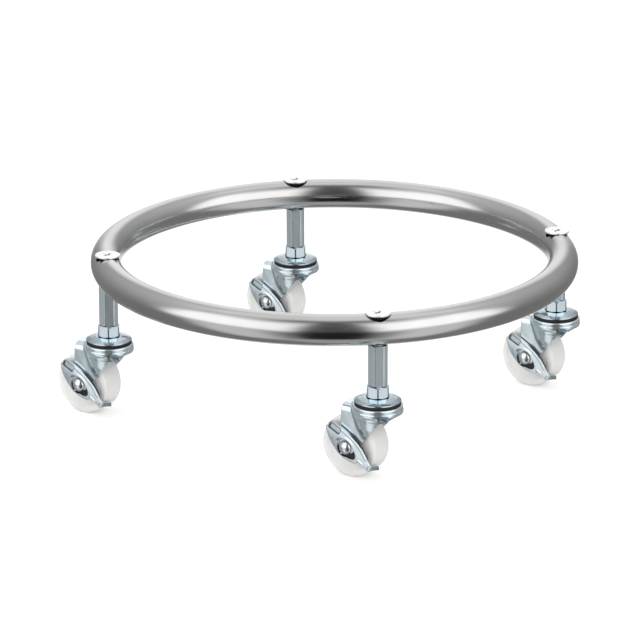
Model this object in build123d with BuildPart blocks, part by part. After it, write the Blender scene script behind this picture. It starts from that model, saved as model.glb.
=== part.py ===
from build123d import *

import os
from math import acos, atan2, cos, hypot, radians, sin, sqrt

# Round drum dolly: a stainless tube bent into a ring, standing on four small swivel casters.
# A countersunk screw passes down through the tube at each caster into a long hexagonal spacer
# nut. The caster's threaded stem screws up into the same spacer, locked by a nut, and its
# lower end carries the swivel bearing and the fork. Every wheel has a rocking side brake.
#
# Frame: millimetres, +Z up, origin on the floor under the centre of the ring. The dolly rolls
# towards +X, so its wheels trail towards -X, and the brakes are on the -Y side of the forks.
# Side views are drawn in (forward, up), seen from -Y, measured from each swivel axis.

# ---------------------------------------------------------------- driving dimensions
RING_OUTER_D = 300.0
TUBE_D = 19.0
TUBE_WALL = 1.5
BUTT_JOINT = 0.04  # degrees, the hairline where the bent tube's two ends meet, at +X
RING_Z = 92.5  # height of the tube's centre line
THREAD_D = 8.0
SHEET = 1.5  # pressed steel of the forks
WHEEL_D = 38.0
WHEEL_W = 16.0
TRAIL = 15.5  # swivel axis to axle
FIT = 0.05  # radial clearance of running fits, and of mating threads

# ---------------------------------------------------------------- worked out from them
TUBE_R = TUBE_D / 2
RING_R = (RING_OUTER_D - TUBE_D) / 2
CREST_Z = RING_Z + TUBE_R
TUBE_LOW_Z = RING_Z - TUBE_R
THREAD_R = THREAD_D / 2
NUT_BORE_R = THREAD_R + FIT
WHEEL_R = WHEEL_D / 2
AXLE_Z = WHEEL_R
STAND = RING_R * sqrt(0.5)  # each caster stands on a diagonal of the ring

# ---------------------------------------------------------------- screws, spacers and nuts
SCREW_LENGTH = 30.0
HEAD_R = 7.7
HEAD_RIM = 0.8
HEAD_CONE_Z = CREST_Z - (HEAD_R - THREAD_R)  # a 90 degree cone, its rim level with the crest
HEAD_TOP_Z = CREST_Z + HEAD_RIM
SCREW_HOLE_R = THREAD_R + 0.3
SEAT_HOLE_R = 7.0  # hole in the tube's upper wall; the head bears on its rim at the crest
RECESS_LENGTH = 7.0
RECESS_WIDTH = 1.6
RECESS_DEPTH = 1.6
THREAD_LEAD_IN = 0.7
SPACER_FLATS = 10.4
SPACER_TOP_Z = TUBE_LOW_Z
SPACER_LOW_Z = 58.0
NUT_FLATS = 13.0
NUT_LOW_Z = 51.0
STEM_TOP_Z = 68.0
SPACER_TURN = 14.0  # degrees, how far each hexagon is turned on its thread
NUT_TURN = 35.0

# ---------------------------------------------------------------- swivel bearing
CAP_R = 14.0
CAP_RIM_LOW_Z = 48.0
CAP_RIM = 0.8
CAP_SHEET = 1.0
CAP_FLAT_R = 7.2
BALL_ROW_R = 10.4
BALL_R = 1.4
BALL_Z = 47.6
BALLS = 16
DUST_RING_OUT_R = 13.9
DUST_RING_IN_R = 12.5
FORK_TOP_Z = 46.5
DUST_GAP = 0.1
LOWER_ROW_R = 5.8
LOWER_BALL_R = 1.3
LOWER_BALL_Z = 43.8
LOWER_BALLS = 10
WASHER_R = 7.3
WASHER_TOP_Z = 42.6
WASHER_LOW_Z = 41.2
STEM_HEAD_R = 5.2
STEM_HEAD = 1.2

# ---------------------------------------------------------------- fork
CUP_R = 15.0
CUP_EDGE = 0.8
SKIRT_LOW_Z = 41.5
ROOF_TOP_Z = 45.7
ROOF_SHOULDER = 4.0  # bend between the roof and the legs
ROOF_INNER_BEND = ROOF_SHOULDER - SHEET
LEG_OUT = 9.85  # outer face of each leg, from the wheel's middle plane
LEG_IN = LEG_OUT - SHEET
FORK_REAR = -TRAIL - 4.0
LEG_REAR_LOW_Z = 31.0
LEG_FRONT = 8.5  # of the leg on the brake's side
PLAIN_LEG_FRONT = 5.0  # of the other leg, which is narrower
LEG_FRONT_LOW_Z = 38.0
LOBE_R = 5.0
APRON = ((11.3, 38.9), (14.8, SKIRT_LOW_Z))  # the skirt's edge, running down to the legs
SWELL = ((9.85, 26.5), (12.4, 33.0), (13.3, 37.0), (14.8, 42.0))  # radius, height
KINGPIN_HOLE_R = 4.6

# ---------------------------------------------------------------- axle and wheel
AXLE_R = 2.3
AXLE_HOLE_R = AXLE_R + FIT
SLEEVE_R = 3.2
RIVET_HEAD_R = 4.5
RIVET_HEAD_H = 2.8
RIVET_TAIL_R = 3.8
RIVET_TAIL_H = 1.5
TAIL_EDGE = 0.5
HUB_R = 5.2
HUB_HALF = 8.2
SHOULDER_R = 1.6
CROWN = 0.25

# ---------------------------------------------------------------- brake
# The lever rocks on a round boss set off-centre on the axle, so that rocking it forwards and
# down draws its foot in towards the tread. Its outline is drawn in (along, across): along runs
# from the axle towards the foot.
LEVER_TILT = -38.0  # degrees above forward
BOSS_OFFSET = 2.4
BOSS_R = 5.3
BOSS_H = 1.3
FLOOR_GAP = 0.15  # between the lever's floor and the faces beside it
LEVER_FLOOR = 1.0
LEVER_OUT = 12.7  # outer face of the lever's plate, from the wheel's middle plane
LEVER_SHEET = 1.2
LEVER_RIM = 1.1
RIM_DEPTH = 2.4
LEVER_TOE_HIGH = (-17.0, 6.0)
LEVER_TOE_LOW = (-17.2, 1.0)
LEVER_CROWN = (-2.0, 9.1)
LEVER_ARM_HIGH = (8.5, 8.8)
LEVER_BELLY = (-0.5, -5.7)
LEVER_ARM_LOW = (11.4, -1.8)
LEVER_ELBOW = (12.4, 1.0)
EYE_R = 4.7
EYE_WALL = 0.9
EYE_AT = (1.0, 0.6)
EYE_HALF_LENGTH = 7.6
EYE_HALF_WIDTH = 4.0
FOOT_GAP = 0.65
FOOT_SHEET = 1.3
FOOT_HIGH = 15.5  # degrees, the foot's two ends as seen from the axle
FOOT_LOW = 4.5
FOOT_IN_R = WHEEL_R + FOOT_GAP
FOOT_OUT_R = FOOT_IN_R + FOOT_SHEET
FOOT_IN = 1.5  # the foot's inner end, from the wheel's middle plane
TAB_REACH = 1.6  # how far the tab at that end stands out beyond the foot
TAB_HIGH = 6.0
TAB_LOW = 0.5
TAB_WIDTH = 4.5

CASTERS = {
    "front_left": (STAND, STAND),
    "front_right": (STAND, -STAND),
    "rear_left": (-STAND, STAND),
    "rear_right": (-STAND, -STAND),
}


# ---------------------------------------------------------------- helpers
def save(part, name):
    part.label = name
    export_step(part, f"parts/{name}.step")


def ground(x, y):
    return Plane(origin=(x, y, 0), x_dir=(1, 0, 0), z_dir=(0, 0, 1))


def side(x, y, out=0.0):
    """The (forward, up) plane of a caster, out from the wheel's middle; it extrudes towards -Y."""
    return Plane(origin=(x, y - out, 0), x_dir=(1, 0, 0), z_dir=(0, -1, 0))


def at_axle(x, y, out=0.0):
    """The same plane, its origin moved to the axle."""
    return Plane(origin=(x - TRAIL, y - out, AXLE_Z), x_dir=(1, 0, 0), z_dir=(0, -1, 0))


def polar(radius, angle):
    return (radius * cos(radians(angle)), radius * sin(radians(angle)))


def turned(x, y, outline, mode=Mode.ADD):
    """A closed half section of (radius, height) corners, turned about a swivel axis."""
    with BuildSketch(side(x, y)) as section:
        with BuildLine():
            Polyline(*outline, close=True)
        make_face()
    revolve(section.sketch, axis=Axis((x, y, 0), (0, 0, 1)), mode=mode)


def across_axle(x, y):
    """The plane of (outboard, up) through the axle, outboard being towards the brake."""
    return Plane(origin=(x - TRAIL, y, AXLE_Z), x_dir=(0, -1, 0), z_dir=(-1, 0, 0))


def axle_axis(x, y):
    return Axis((x - TRAIL, y, AXLE_Z), (0, 1, 0))


def turned_on_axle(x, y, outline):
    """A closed half section of (outboard, radius) corners, turned about the axle."""
    with BuildSketch(across_axle(x, y)) as section:
        with BuildLine():
            Polyline(*outline, close=True)
        make_face()
    revolve(section.sketch, axis=axle_axis(x, y))


def lever_plane(x, y, out):
    """The plane at the axle turned so that its x runs along the lever, towards the foot."""
    along = (cos(radians(LEVER_TILT)), 0, sin(radians(LEVER_TILT)))
    return Plane(origin=(x - TRAIL, y - out, AXLE_Z), x_dir=along, z_dir=(0, -1, 0))


def ball_groove(x, y, row_r, row_z, ball_r):
    """Cuts the race that a row of balls runs in."""
    with BuildSketch(side(x, y)) as section:
        with Locations((row_r, row_z)):
            Circle(ball_r + FIT)
    revolve(section.sketch, axis=Axis((x, y, 0), (0, 0, 1)), mode=Mode.SUBTRACT)


def hex_nut(x, y, low_z, high_z, flats, turn):
    """A threaded hexagonal nut or spacer, its corners chamfered at both ends."""
    with BuildSketch(ground(x, y).offset(low_z)) as hexagon:
        RegularPolygon(flats / 2, 6, major_radius=False, rotation=turn)
        Circle(NUT_BORE_R, mode=Mode.SUBTRACT)
    extrude(hexagon.sketch, amount=high_z - low_z)
    corner_r = flats / sqrt(3) + 0.1
    flat_r = flats / 2
    drop = (corner_r - flat_r) * 0.6
    turned(
        x,
        y,
        [(0, low_z), (flat_r, low_z), (corner_r, low_z + drop)]
        + [(corner_r, high_z - drop), (flat_r, high_z), (0, high_z)],
        mode=Mode.INTERSECT,
    )


def tangent_point(radius, outside, turn):
    """Where the tangent from an outside point touches a circle about the origin."""
    angle = atan2(outside[1], outside[0]) + turn * acos(radius / hypot(*outside))
    return (radius * cos(angle), radius * sin(angle))


# ---------------------------------------------------------------- the ring and its fasteners
def make_ring_tube():
    with BuildPart() as ring_tube:
        with BuildSketch(Plane.XZ):
            with Locations((RING_R, RING_Z)):
                Circle(TUBE_R)
                Circle(TUBE_R - TUBE_WALL, mode=Mode.SUBTRACT)
        revolve(axis=Axis.Z, revolution_arc=360 - BUTT_JOINT)
        for x, y in CASTERS.values():
            turned(
                x,
                y,
                [
                    (0, TUBE_LOW_Z - 1),
                    (SCREW_HOLE_R, TUBE_LOW_Z - 1),
                    (SCREW_HOLE_R, RING_Z),
                    (SEAT_HOLE_R, RING_Z),
                    (SEAT_HOLE_R, HEAD_CONE_Z + SEAT_HOLE_R - THREAD_R - FIT),
                    (HEAD_R, CREST_Z - FIT),
                    (HEAD_R, HEAD_TOP_Z),
                    (0, HEAD_TOP_Z),
                ],
                mode=Mode.SUBTRACT,
            )
    return ring_tube.part


def make_top_screws():
    tip_z = HEAD_TOP_Z - SCREW_LENGTH
    with BuildPart() as top_screws:
        for x, y in CASTERS.values():
            turned(
                x,
                y,
                [
                    (0, tip_z),
                    (THREAD_R - THREAD_LEAD_IN, tip_z),
                    (THREAD_R, tip_z + THREAD_LEAD_IN),
                    (THREAD_R, HEAD_CONE_Z),
                    (HEAD_R, CREST_Z),
                    (HEAD_R, HEAD_TOP_Z),
                    (0, HEAD_TOP_Z),
                ],
            )
            with BuildSketch(ground(x, y).offset(HEAD_TOP_Z)):
                Rectangle(RECESS_LENGTH, RECESS_WIDTH)
                Rectangle(RECESS_WIDTH, RECESS_LENGTH)
            extrude(amount=-RECESS_DEPTH, taper=15, mode=Mode.SUBTRACT)
    return top_screws.part


def make_spacer(x, y):
    with BuildPart() as spacer:
        hex_nut(x, y, SPACER_LOW_Z, SPACER_TOP_Z, SPACER_FLATS, SPACER_TURN)
    return spacer.part


def make_lock_nut(x, y):
    with BuildPart() as lock_nut:
        hex_nut(x, y, NUT_LOW_Z, SPACER_LOW_Z, NUT_FLATS, NUT_TURN)
    return lock_nut.part


# ---------------------------------------------------------------- the swivel bearing
def make_stem(x, y):
    """Threaded stem and kingpin in one, riveted over below the lower race."""
    low_z = WASHER_LOW_Z - STEM_HEAD
    with BuildPart() as stem:
        turned(
            x,
            y,
            [
                (0, low_z),
                (STEM_HEAD_R - 0.6, low_z),
                (STEM_HEAD_R, low_z + 0.6),
                (STEM_HEAD_R, WASHER_LOW_Z),
                (THREAD_R, WASHER_LOW_Z),
                (THREAD_R, STEM_TOP_Z - THREAD_LEAD_IN),
                (THREAD_R - THREAD_LEAD_IN, STEM_TOP_Z),
                (0, STEM_TOP_Z),
            ],
        )
    return stem.part


def make_bearing_cap(x, y):
    """Domed upper race, from a flat under the nut out to a thin rim."""
    rim_top_z = CAP_RIM_LOW_Z + CAP_RIM
    low_top_z = NUT_LOW_Z - CAP_SHEET
    with BuildPart() as bearing_cap:
        with BuildSketch(side(x, y)):
            with BuildLine():
                Polyline(
                    (CAP_FLAT_R, NUT_LOW_Z),
                    (NUT_BORE_R, NUT_LOW_Z),
                    (NUT_BORE_R, low_top_z),
                    (CAP_FLAT_R, low_top_z),
                )
                RadiusArc((CAP_FLAT_R, low_top_z), (CAP_R - CAP_SHEET, CAP_RIM_LOW_Z), 14)
                Polyline((CAP_R - CAP_SHEET, CAP_RIM_LOW_Z), (CAP_R, CAP_RIM_LOW_Z), (CAP_R, rim_top_z))
                RadiusArc((CAP_R, rim_top_z), (CAP_FLAT_R, NUT_LOW_Z), -14)
            make_face()
        revolve(axis=Axis((x, y, 0), (0, 0, 1)))
        ball_groove(x, y, BALL_ROW_R, BALL_Z, BALL_R)
    return bearing_cap.part


def make_dust_ring(x, y):
    """The dark ring that fills the gap between the cap's rim and the fork."""
    with BuildPart() as dust_ring:
        with BuildSketch(ground(x, y).offset(FORK_TOP_Z + DUST_GAP)):
            Circle(DUST_RING_OUT_R)
            Circle(DUST_RING_IN_R, mode=Mode.SUBTRACT)
        extrude(amount=CAP_RIM_LOW_Z - FORK_TOP_Z - DUST_GAP)
    return dust_ring.part


def make_balls(x, y, row_r, row_z, ball_r, count):
    with BuildPart() as balls:
        with Locations(ground(x, y).offset(row_z)):
            with PolarLocations(row_r, count):
                Sphere(ball_r)
    return balls.part


def make_kingpin_washer(x, y):
    with BuildPart() as kingpin_washer:
        with BuildSketch(ground(x, y).offset(WASHER_LOW_Z)):
            Circle(WASHER_R)
            Circle(NUT_BORE_R, mode=Mode.SUBTRACT)
        extrude(amount=WASHER_TOP_Z - WASHER_LOW_Z)
        ball_groove(x, y, LOWER_ROW_R, LOWER_BALL_Z, LOWER_BALL_R)
    return kingpin_washer.part


# ---------------------------------------------------------------- the fork
def leg_outline(leg_front):
    """Side view of the roof and one leg, which tapers to a round lobe about the axle."""
    rear = (FORK_REAR + TRAIL, LEG_REAR_LOW_Z - AXLE_Z)
    front = (leg_front + TRAIL, LEG_FRONT_LOW_Z - AXLE_Z)
    apron = [(forward + TRAIL, up - AXLE_Z) for forward, up in APRON]
    rear_touch = tangent_point(LOBE_R, rear, 1)
    front_touch = tangent_point(LOBE_R, front, -1)
    roof_z = ROOF_TOP_Z - AXLE_Z
    with BuildLine() as outline:
        Polyline(rear, (rear[0], roof_z), (apron[-1][0], roof_z), *reversed(apron), front)
        Line(front, front_touch)
        ThreePointArc(front_touch, (0, -LOBE_R), rear_touch)
        Line(rear_touch, rear)
    make_face(outline.edges())


def leg_blank(x, y):
    """Both side views, carried out past the cup."""
    with BuildPart() as blank:
        with BuildSketch(at_axle(x, y)):
            leg_outline(LEG_FRONT)
        extrude(amount=CUP_R)
        with BuildSketch(at_axle(x, y)):
            leg_outline(PLAIN_LEG_FRONT)
        extrude(amount=-CUP_R)
    return blank.part


def swell(inset):
    """Half section of the swelling that carries the cup's wall down into the legs."""
    wall = [(radius - inset, up) for radius, up in SWELL]
    return [(0, wall[0][1])] + wall + [(0, wall[-1][1])]


def channel(x, y, front, top_z, half_width, bend):
    """Section across the fork with both its upper edges rounded, drawn at its front end."""
    with BuildSketch(Plane(origin=(x + front, y, 0), x_dir=(0, -1, 0), z_dir=(-1, 0, 0))) as section:
        with BuildLine():
            FilletPolyline(
                (half_width, 0),
                (half_width, top_z),
                (-half_width, top_z),
                (-half_width, 0),
                radius=bend,
            )
            Line((-half_width, 0), (half_width, 0))
        make_face()
    return section.sketch


def round_cup(x, y):
    """The outside of the cup that carries the upper race."""
    with BuildPart() as cup:
        with BuildSketch(ground(x, y).offset(SKIRT_LOW_Z)):
            Circle(CUP_R)
        extrude(amount=FORK_TOP_Z - SKIRT_LOW_Z)
        fillet(cup.edges().group_by(Axis.Z)[-1], CUP_EDGE)
    return cup.part


def make_fork(x, y):
    roof_low_z = ROOF_TOP_Z - SHEET
    with BuildPart() as fork:
        # roof and legs: the channel's rounded section and its swelling, cut to the side views
        extrude(
            channel(x, y, LEG_FRONT, ROOF_TOP_Z, LEG_OUT, ROOF_SHOULDER),
            amount=LEG_FRONT - FORK_REAR,
        )
        turned(x, y, swell(0))
        add(leg_blank(x, y), mode=Mode.INTERSECT)
        extrude(
            channel(x, y, CUP_R, roof_low_z, LEG_IN, ROOF_INNER_BEND),
            amount=3 * CUP_R,
            mode=Mode.SUBTRACT,
        )
        turned(x, y, swell(SHEET), mode=Mode.SUBTRACT)
        add(round_cup(x, y))
        with BuildSketch(ground(x, y).offset(SKIRT_LOW_Z)):
            Circle(CUP_R - SHEET)
        extrude(amount=FORK_TOP_Z - SHEET - SKIRT_LOW_Z, mode=Mode.SUBTRACT)
        with BuildSketch(at_axle(x, y)):
            Circle(AXLE_HOLE_R)
        extrude(amount=2 * LEG_OUT, both=True, mode=Mode.SUBTRACT)
        with BuildSketch(ground(x, y).offset(SKIRT_LOW_Z)):
            Circle(KINGPIN_HOLE_R)
        extrude(amount=CUP_R, mode=Mode.SUBTRACT)
        ball_groove(x, y, BALL_ROW_R, BALL_Z, BALL_R)
        ball_groove(x, y, LOWER_ROW_R, LOWER_BALL_Z, LOWER_BALL_R)
    return fork.part


# ---------------------------------------------------------------- axle and wheel
def make_axle_rivet(x, y):
    """Domed head over the brake, shank, and a flat riveted tail."""
    head = LEG_OUT + BOSS_H
    tail = -LEG_OUT
    dome_r = (RIVET_HEAD_R**2 + RIVET_HEAD_H**2) / (2 * RIVET_HEAD_H)
    dome_centre = head + RIVET_HEAD_H - dome_r
    half = atan2(RIVET_HEAD_R, head - dome_centre) / 2
    with BuildPart() as axle_rivet:
        turned_on_axle(
            x,
            y,
            [
                (tail - RIVET_TAIL_H, 0),
                (tail - RIVET_TAIL_H, RIVET_TAIL_R - TAIL_EDGE),
                (tail - RIVET_TAIL_H + TAIL_EDGE, RIVET_TAIL_R),
                (tail, RIVET_TAIL_R),
                (tail, AXLE_R),
                (head, AXLE_R),
                (head, 0),
            ],
        )
        with BuildSketch(across_axle(x, y)):
            with BuildLine():
                ThreePointArc(
                    (head, RIVET_HEAD_R),
                    (dome_centre + dome_r * cos(half), dome_r * sin(half)),
                    (head + RIVET_HEAD_H, 0),
                )
                Polyline((head + RIVET_HEAD_H, 0), (head, 0), (head, RIVET_HEAD_R))
            make_face()
        revolve(axis=axle_axis(x, y))
    return axle_rivet.part


def make_axle_sleeve(x, y):
    """Tube clamped between the legs, which the wheel turns on."""
    with BuildPart() as axle_sleeve:
        with BuildSketch(at_axle(x, y, -LEG_IN)):
            Circle(SLEEVE_R)
            Circle(AXLE_HOLE_R, mode=Mode.SUBTRACT)
        extrude(amount=2 * LEG_IN)
    return axle_sleeve.part


def make_wheel(x, y):
    face = WHEEL_W / 2
    rim = WHEEL_R - CROWN
    low = rim - SHOULDER_R
    bore = SLEEVE_R + FIT
    with BuildPart() as wheel:
        with BuildSketch(across_axle(x, y)):
            with BuildLine():
                Polyline(
                    (-face, low),
                    (-face, HUB_R),
                    (-HUB_HALF, HUB_R),
                    (-HUB_HALF, bore),
                    (HUB_HALF, bore),
                    (HUB_HALF, HUB_R),
                    (face, HUB_R),
                    (face, low),
                )
                for way in (-1, 1):
                    ThreePointArc(
                        (way * face, low),
                        (way * (face - SHOULDER_R * (1 - sqrt(0.5))), low + SHOULDER_R * sqrt(0.5)),
                        (way * (face - SHOULDER_R), rim),
                    )
                ThreePointArc((SHOULDER_R - face, rim), (0, WHEEL_R), (face - SHOULDER_R, rim))
            make_face()
        revolve(axis=axle_axis(x, y))
    return wheel.part


# ---------------------------------------------------------------- the brake
def make_brake_boss(x, y):
    """Round boss riveted off-centre under the axle's head; the lever rocks on it."""
    with BuildPart() as brake_boss:
        with BuildSketch(lever_plane(x, y, LEG_OUT)):
            with Locations((0, BOSS_OFFSET)):
                Circle(BOSS_R)
            Circle(AXLE_HOLE_R, mode=Mode.SUBTRACT)
        extrude(amount=BOSS_H)
    return brake_boss.part


def lever_outline():
    """Lens-shaped plate with an arm that runs out to the foot."""
    with BuildLine() as outline:
        ThreePointArc(LEVER_TOE_HIGH, LEVER_CROWN, LEVER_ARM_HIGH)
        Polyline(LEVER_ARM_HIGH, polar(FOOT_OUT_R, FOOT_HIGH), polar(FOOT_OUT_R, FOOT_LOW))
        Polyline(polar(FOOT_OUT_R, FOOT_LOW), LEVER_ELBOW, LEVER_ARM_LOW)
        ThreePointArc(LEVER_ARM_LOW, LEVER_BELLY, LEVER_TOE_LOW)
        Line(LEVER_TOE_LOW, LEVER_TOE_HIGH)
    make_face(outline.edges())


def ring_sector(inner_r, outer_r, low, high):
    """The stretch of a ring about the axle between two angles in degrees."""
    angles = (low, (low + high) / 2, high)
    inner = [polar(inner_r, angle) for angle in angles]
    outer = [polar(outer_r, angle) for angle in angles]
    with BuildLine() as sector:
        ThreePointArc(*inner)
        ThreePointArc(*outer)
        Line(inner[0], outer[0])
        Line(inner[2], outer[2])
    make_face(sector.edges())


def make_brake_lever(x, y):
    """Pressed tray: a plate with a rim turned in, a sunk floor, and a foot with a tab over the tread."""
    rim_in = LEVER_OUT - RIM_DEPTH
    floor_in = LEG_OUT + FLOOR_GAP
    with BuildPart() as brake_lever:
        with BuildSketch(lever_plane(x, y, rim_in)):
            lever_outline()
        extrude(amount=RIM_DEPTH)
        with BuildSketch(lever_plane(x, y, rim_in)):
            lever_outline()
            offset(amount=-LEVER_RIM)
        extrude(amount=RIM_DEPTH - LEVER_SHEET, mode=Mode.SUBTRACT)
        with BuildSketch(lever_plane(x, y, floor_in)):
            Circle(EYE_R + EYE_WALL)
            with Locations(EYE_AT):
                Ellipse(EYE_HALF_LENGTH + LEVER_RIM, EYE_HALF_WIDTH + LEVER_RIM)
            with Locations((0, BOSS_OFFSET)):
                Circle(BOSS_R + LEVER_RIM)
        extrude(amount=LEVER_OUT - LEVER_SHEET - floor_in)
        with BuildSketch(lever_plane(x, y, floor_in + LEVER_FLOOR)):
            Circle(EYE_R)
            with Locations(EYE_AT):
                Ellipse(EYE_HALF_LENGTH, EYE_HALF_WIDTH)
        extrude(amount=RIM_DEPTH, mode=Mode.SUBTRACT)
        with BuildSketch(lever_plane(x, y, LEG_OUT)):
            with Locations((0, BOSS_OFFSET)):
                Circle(BOSS_R + FIT)
        extrude(amount=BOSS_H + FLOOR_GAP, mode=Mode.SUBTRACT)
        with BuildSketch(lever_plane(x, y, FOOT_IN)):
            ring_sector(FOOT_IN_R, FOOT_OUT_R, FOOT_LOW, FOOT_HIGH)
        extrude(amount=LEVER_OUT - FOOT_IN)
        with BuildSketch(lever_plane(x, y, FOOT_IN)):
            ring_sector(FOOT_IN_R, FOOT_OUT_R + TAB_REACH, TAB_LOW, TAB_HIGH)
        extrude(amount=TAB_WIDTH)
    return brake_lever.part


# ---------------------------------------------------------------- build and write every piece
os.makedirs("parts", exist_ok=True)
save(make_ring_tube(), "ring_tube")
save(make_top_screws(), "top_screws")
for place, (x, y) in CASTERS.items():
    save(make_spacer(x, y), f"spacer_{place}")
    save(make_lock_nut(x, y), f"lock_nut_{place}")
    save(make_stem(x, y), f"stem_{place}")
    save(make_bearing_cap(x, y), f"bearing_cap_{place}")
    save(make_dust_ring(x, y), f"dust_ring_{place}")
    save(make_balls(x, y, BALL_ROW_R, BALL_Z, BALL_R, BALLS), f"upper_balls_{place}")
    save(make_balls(x, y, LOWER_ROW_R, LOWER_BALL_Z, LOWER_BALL_R, LOWER_BALLS), f"lower_balls_{place}")
    save(make_kingpin_washer(x, y), f"kingpin_washer_{place}")
    save(make_fork(x, y), f"fork_{place}")
    save(make_axle_rivet(x, y), f"axle_rivet_{place}")
    save(make_axle_sleeve(x, y), f"axle_sleeve_{place}")
    save(make_wheel(x, y), f"wheel_{place}")
    save(make_brake_boss(x, y), f"brake_boss_{place}")
    save(make_brake_lever(x, y), f"brake_lever_{place}")
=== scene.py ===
import math

import bmesh
import bpy
import numpy as np
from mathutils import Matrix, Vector


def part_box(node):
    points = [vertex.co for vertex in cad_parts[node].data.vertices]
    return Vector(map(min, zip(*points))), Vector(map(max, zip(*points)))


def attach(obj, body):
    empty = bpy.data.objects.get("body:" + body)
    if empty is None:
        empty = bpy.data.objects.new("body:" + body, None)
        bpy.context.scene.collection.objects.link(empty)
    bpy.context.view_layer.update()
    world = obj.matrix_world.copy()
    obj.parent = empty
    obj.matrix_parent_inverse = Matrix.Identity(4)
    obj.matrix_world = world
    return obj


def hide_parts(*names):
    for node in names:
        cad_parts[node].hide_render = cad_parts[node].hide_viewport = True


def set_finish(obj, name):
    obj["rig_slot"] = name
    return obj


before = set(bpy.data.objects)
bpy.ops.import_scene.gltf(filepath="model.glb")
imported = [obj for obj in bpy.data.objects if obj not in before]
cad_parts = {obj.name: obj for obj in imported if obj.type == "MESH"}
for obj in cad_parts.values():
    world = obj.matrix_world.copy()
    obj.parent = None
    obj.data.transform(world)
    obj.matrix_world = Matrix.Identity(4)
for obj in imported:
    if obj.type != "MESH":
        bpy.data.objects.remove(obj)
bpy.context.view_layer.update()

# Round drum dolly. Lengths below are millimetres unless they come straight from the frame.
# Each caster is drawn in its own frame: forward, left and up, from the floor under its swivel
# axis. Brake parts are drawn in (along, across, out) from the axle: along runs towards the
# brake's foot, and out is towards the brake's side of the fork.
MM = 0.001
PLACES = ("front_left", "front_right", "rear_left", "rear_right")


# -------------------------------- places read from the frame
def middle(node):
    low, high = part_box(node)
    return (low + high) / 2


def ground_point(place):
    spot = middle(f"stem_{place}")
    return Vector((spot.x, spot.y, 0))


def height(node, end):
    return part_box(node)[end].z / MM


RING_LOW, RING_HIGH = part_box("ring_tube")
RING_OUTER_R = (RING_HIGH.x - RING_LOW.x) / 2 / MM
TUBE_R = (RING_HIGH.z - RING_LOW.z) / 2 / MM
RING_R = RING_OUTER_R - TUBE_R
RING_Z = (RING_HIGH.z + RING_LOW.z) / 2 / MM
HEAD_TOP_Z = height("top_screws", 1)

FIRST = PLACES[0]
SPACER_LOW_Z = height(f"spacer_{FIRST}", 0)
NUT_LOW_Z = height(f"lock_nut_{FIRST}", 0)
FORK_TOP_Z = height(f"fork_{FIRST}", 1)
CUP_R = (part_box(f"fork_{FIRST}")[1].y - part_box(f"fork_{FIRST}")[0].y) / 2 / MM
WHEEL_R = (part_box(f"wheel_{FIRST}")[1].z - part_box(f"wheel_{FIRST}")[0].z) / 2 / MM
TRAIL = (middle(f"stem_{FIRST}").x - middle(f"axle_sleeve_{FIRST}").x) / MM
AXLE_Z = middle(f"axle_sleeve_{FIRST}").z / MM
LEG_IN = (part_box(f"axle_sleeve_{FIRST}")[1].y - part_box(f"axle_sleeve_{FIRST}")[0].y) / 2 / MM


# -------------------------------- mesh helpers
SHARP = 35.0  # degrees


def mark_sharp(made, crease):
    """Keeps a mesh's edges sharp where its faces meet at more than crease degrees."""
    for edge in made.edges:
        if len(edge.link_faces) == 2 and edge.calc_face_angle(0) > math.radians(crease):
            edge.smooth = False


def new_piece(name, verts, faces, material, slot, normals=None, crease=SHARP, shade=None):
    """A smooth-shaded object in metres; edges sharper than crease degrees stay sharp.

    shade, from 0 to 1 at each vertex, is how much painted shade darkens the plating there.
    """
    mesh = bpy.data.meshes.new(name)
    mesh.from_pydata((np.asarray(verts, float) * MM).tolist(), [], [list(map(int, f)) for f in faces])
    mesh.materials.append(material)
    made = bmesh.new()
    made.from_mesh(mesh)
    for face in made.faces:
        face.smooth = True
    if normals is None:
        bmesh.ops.recalc_face_normals(made, faces=made.faces)
        mark_sharp(made, crease)
    made.to_mesh(mesh)
    made.free()
    if normals is not None:
        mesh.normals_split_custom_set_from_vertices(normals.tolist())
    if shade is not None:
        mesh.attributes.new("shade", "FLOAT", "POINT").data.foreach_set("value", shade)
    piece = bpy.data.objects.new(name, mesh)
    bpy.context.scene.collection.objects.link(piece)
    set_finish(piece, slot)
    return piece


ARC_STEPS = 5
HALF_SIDE = 0.49  # most of a side that one corner's arc may take


def rounded(points, steps=ARC_STEPS):
    """A closed outline of (x, y, radius) corners, each corner replaced by an arc of its radius."""
    path = []
    count = len(points)
    for i, (x, y, radius) in enumerate(points):
        here = Vector((x, y))
        to_last = Vector(points[i - 1][:2]) - here
        to_next = Vector(points[(i + 1) % count][:2]) - here
        if radius <= 0:
            path.append((x, y))
            continue
        half = to_last.angle(to_next) / 2
        reach = min(radius / math.tan(half), to_last.length * HALF_SIDE, to_next.length * HALF_SIDE)
        radius = reach * math.tan(half)
        start = here + to_last.normalized() * reach
        end = here + to_next.normalized() * reach
        centre = here + (to_last.normalized() + to_next.normalized()).normalized() * radius / math.sin(half)
        for k in range(steps + 1):
            arm = (start - centre).lerp(end - centre, k / steps).normalized() * radius
            path.append(tuple(centre + arm))
    return path


TURN_STEPS = 96
WHEEL_STEPS = 128


def quads_round(segments, depth):
    """Faces between closed outlines of depth points each, the last outline joined to the first."""
    faces = []
    for i in range(segments):
        here, there = i * depth, (i + 1) % segments * depth
        for k in range(depth):
            after = (k + 1) % depth
            faces.append((here + k, there + k, there + after, here + after))
    return faces


def lathe(profile, segments=TURN_STEPS):
    """A closed (radius, height) outline turned about Z."""
    angles = np.linspace(0, 2 * math.pi, segments, endpoint=False)
    verts = [(r * math.cos(a), r * math.sin(a), z) for a in angles for r, z in profile]
    return np.array(verts), quads_round(segments, len(profile))


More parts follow.
